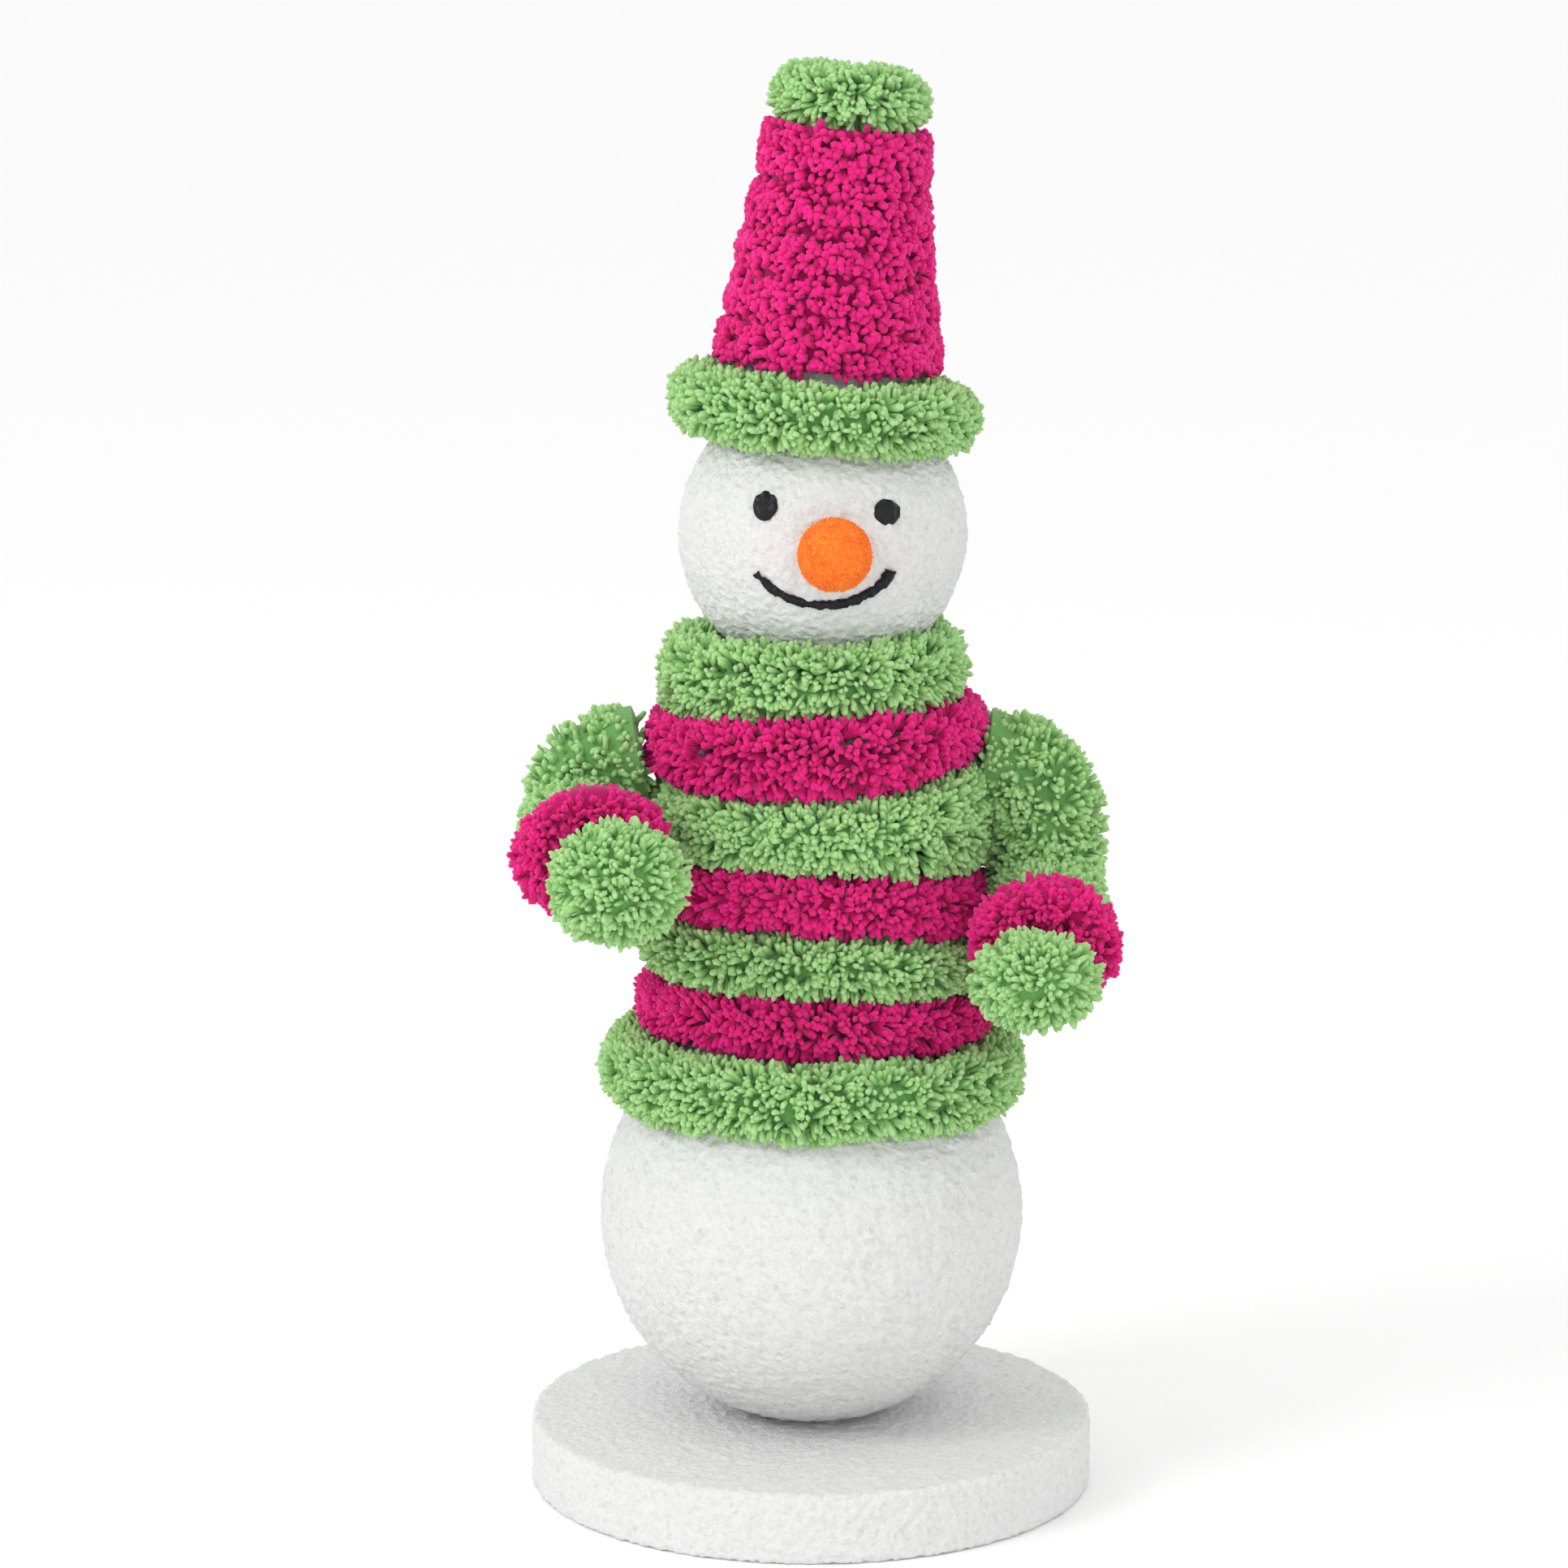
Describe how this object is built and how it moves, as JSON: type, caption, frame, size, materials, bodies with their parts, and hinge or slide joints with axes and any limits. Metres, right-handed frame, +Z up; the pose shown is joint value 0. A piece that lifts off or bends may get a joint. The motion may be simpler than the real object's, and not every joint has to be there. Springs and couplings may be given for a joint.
{
  "type": "craft snowman figure",
  "caption": "Standing snowman decoration of foam balls on a round foam base, with a chenille jumper, cuffs, mittens and tall hat on posable wire arms.",
  "frame": {"origin": "centre of the base disc's underside", "axes": "+Z up, the figure faces -Y, and its own left hand is on the +X side"},
  "size_m": [0.2152, 0.2179, 0.5151],
  "materials": {
    "white_foam": "matte",
    "green_chenille": "matte",
    "pink_chenille": "matte",
    "orange_pompom": "matte",
    "black_paint": "gloss",
    "core_wire": "satin",
    "pin_dark": "gloss",
    "dowel_wood": "matte"
  },
  "bodies": {
    "torso": {"base_disc": "white_foam", "bottom_ball": "white_foam", "centre_dowel": "dowel_wood", "collar": "green_chenille", "collar_wire": "core_wire", "crown_turn_1": "pink_chenille", "crown_turn_1_wire": "core_wire", "crown_turn_2": "pink_chenille", "crown_turn_2_wire": "core_wire", "crown_turn_3": "pink_chenille", "crown_turn_3_wire": "core_wire", "crown_turn_4": "pink_chenille", "crown_turn_4_wire": "core_wire", "crown_turn_5": "pink_chenille", "crown_turn_5_wire": "core_wire", "hat_brim": "green_chenille", "hat_brim_wire": "core_wire", "hat_former": "white_foam", "hat_pick": "dowel_wood", "hat_top": "green_chenille", "hat_top_wire": "core_wire", "head_ball": "white_foam", "hem": "green_chenille", "hem_wire": "core_wire", "left_arm_root_wire": "core_wire", "left_eye": "black_paint", "nose_pompom": "orange_pompom", "right_arm_root_wire": "core_wire", "right_eye": "black_paint", "smile": "black_paint", "stripe_1_pink": "pink_chenille", "stripe_1_pink_wire": "core_wire", "stripe_2_green": "green_chenille", "stripe_2_green_wire": "core_wire", "stripe_3_pink": "pink_chenille", "stripe_3_pink_wire": "core_wire", "stripe_4_green": "green_chenille", "stripe_4_green_wire": "core_wire", "stripe_5_pink": "pink_chenille", "stripe_5_pink_wire": "core_wire", "stripe_pin": "pin_dark", "torso_core": "white_foam"},
    "left_upper_arm": {"left_upper_arm_wire": "core_wire", "left_upper_sleeve": "green_chenille"},
    "left_forearm": {"left_forearm_wire": "core_wire", "left_forearm_sleeve": "green_chenille", "left_cuff_wire": "core_wire", "left_cuff": "pink_chenille", "left_mitten": "green_chenille"},
    "right_upper_arm": {"right_upper_arm_wire": "core_wire", "right_upper_sleeve": "green_chenille"},
    "right_forearm": {"right_forearm_wire": "core_wire", "right_forearm_sleeve": "green_chenille", "right_cuff_wire": "core_wire", "right_cuff": "pink_chenille", "right_mitten": "green_chenille"}
  },
  "joints": [
    {"name": "left_shoulder", "type": "hinge", "parent": "torso", "child": "left_upper_arm", "pos_m": [0.068, 0, 0.266], "axis": [0, -1, 0], "range_deg": [-2, 35]},
    {"name": "left_elbow", "type": "hinge", "parent": "left_upper_arm", "child": "left_forearm", "pos_m": [0.09, 0, 0.215], "axis": [-1, 0, 0], "range_deg": [-15, 25]},
    {"name": "right_shoulder", "type": "hinge", "parent": "torso", "child": "right_upper_arm", "pos_m": [-0.068, 0, 0.268], "axis": [0, 1, 0], "range_deg": [-2, 35]},
    {"name": "right_elbow", "type": "hinge", "parent": "right_upper_arm", "child": "right_forearm", "pos_m": [-0.09, 0, 0.242], "axis": [-1, 0, 0], "range_deg": [-15, 25]}
  ]
}
